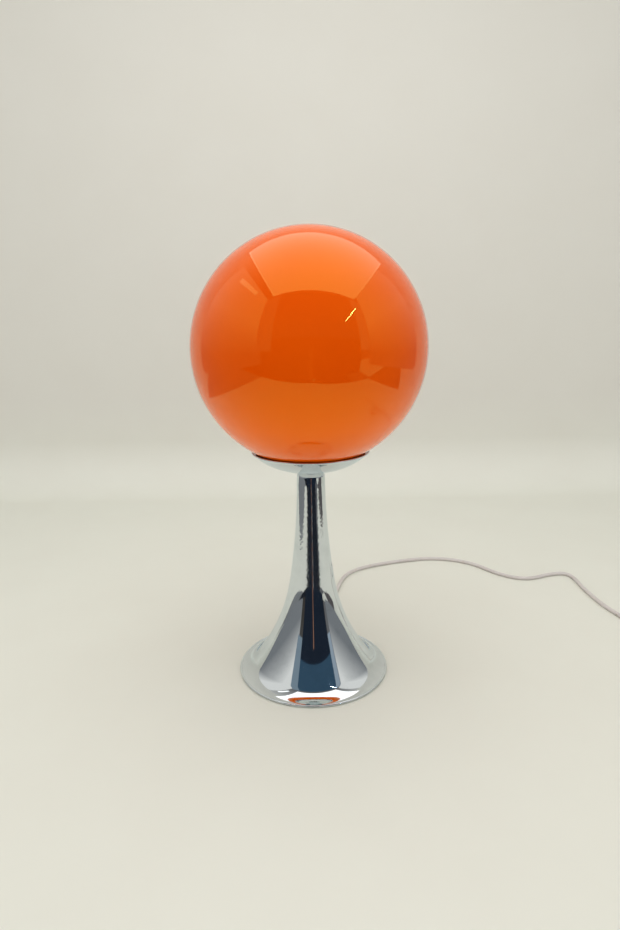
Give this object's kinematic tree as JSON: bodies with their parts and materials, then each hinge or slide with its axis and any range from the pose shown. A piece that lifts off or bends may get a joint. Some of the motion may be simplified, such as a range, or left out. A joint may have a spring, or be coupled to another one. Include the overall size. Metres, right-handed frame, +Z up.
{
  "type": "glass globe table lamp",
  "caption": "Table lamp: an orange opal glass ball in a shallow chromed dish on a slim flared chrome trumpet foot, with a pale corded lead, rocker switch and plug.",
  "frame": {"origin": "middle of the foot, on the table", "axes": "+Z up through the ball; the cord leaves the back of the foot, 80 degrees from +X towards +Y; -Y is the side seen in the picture"},
  "size_m": [0.5835, 0.6064, 0.4972],
  "materials": {
    "polished_chrome": "polished",
    "orange_opal_glass": "glossy opal, coloured through",
    "zinced_steel": "zinc plated",
    "cast_iron": "as cast",
    "turned_brass": "turned",
    "nickel": "nickel plated",
    "tungsten": "drawn wire",
    "grey_felt": "felt",
    "black_rubber": "matt",
    "pale_rubber": "matt",
    "phenolic": "moulded",
    "black_plastic": "moulded",
    "switch_plastic": "moulded",
    "cord_sheath": "smooth extruded",
    "core_sheath": "smooth extruded",
    "white_ceramic": "glazed",
    "black_glass": "vitrite",
    "frosted_glass": "inside frosted",
    "clear_glass": "clear"
  },
  "bodies": {
    "lamp": {"trumpet_shell": "polished_chrome", "base_plate": "zinced_steel", "felt_pad": "grey_felt", "base_weight": "cast_iron", "weight_bridge": "zinced_steel", "bridge_screws": "zinced_steel", "rod_locknut": "zinced_steel", "center_rod": "zinced_steel", "stem_bush": "turned_brass", "stem_nut": "zinced_steel", "gallery_dish": "polished_chrome", "centring_pan": "zinced_steel", "gallery_washer": "zinced_steel", "gallery_nut": "turned_brass", "globe_seat_ring": "black_rubber", "holder_cap": "phenolic", "holder_skirt": "phenolic", "holder_insert": "white_ceramic", "holder_screw_shell": "turned_brass", "holder_contact": "turned_brass", "terminal_blocks": "turned_brass", "terminal_screws": "zinced_steel", "holder_wires": "core_sheath", "cord_inner": "cord_sheath", "cord_clamp": "zinced_steel", "clamp_screws": "zinced_steel", "cord_grommet": "pale_rubber", "cord_run": "cord_sheath", "switch_lower": "switch_plastic", "switch_upper": "switch_plastic", "switch_pin": "zinced_steel", "switch_screws": "zinced_steel", "switch_leads": "cord_sheath", "switch_contacts": "turned_brass", "cord_lead": "cord_sheath", "cord_coil": "cord_sheath", "cord_tie": "black_rubber", "cord_tail": "cord_sheath", "plug_body": "switch_plastic", "plug_boot": "pale_rubber", "plug_pins": "nickel", "plug_sleeves": "black_plastic"},
    "globe": {"glass_globe": "orange_opal_glass"},
    "bulb_lead": {"bulb_contact": "nickel", "bulb_insulator": "black_glass"},
    "bulb": {"bulb_cap": "nickel", "bulb_envelope": "frosted_glass", "bulb_stem": "clear_glass", "bulb_filament": "tungsten"},
    "rocker": {"switch_rocker": "switch_plastic"}
  },
  "joints": [
    {"name": "globe_lift", "type": "slide", "parent": "lamp", "child": "globe", "axis": [0, 0, 1], "range_m": [0, 0.15]},
    {"name": "bulb_rise", "type": "slide", "parent": "lamp", "child": "bulb_lead", "axis": [0, 0, 1], "range_m": [0, 0.0181]},
    {"name": "bulb_turn", "type": "hinge", "parent": "bulb_lead", "child": "bulb", "pos_m": [0, 0, 0.3], "axis": [0, 0, 1], "range_deg": [0, 1800]},
    {"name": "rocker_tip", "type": "hinge", "parent": "lamp", "child": "rocker", "pos_m": [0.431, -0.011, 0.012], "axis": [-1, 0, 0], "range_deg": [0, 14]}
  ],
  "couplings": [
    {"joint": "bulb_rise", "follows": "bulb_turn", "m_per_rad": 0.00057296}
  ]
}
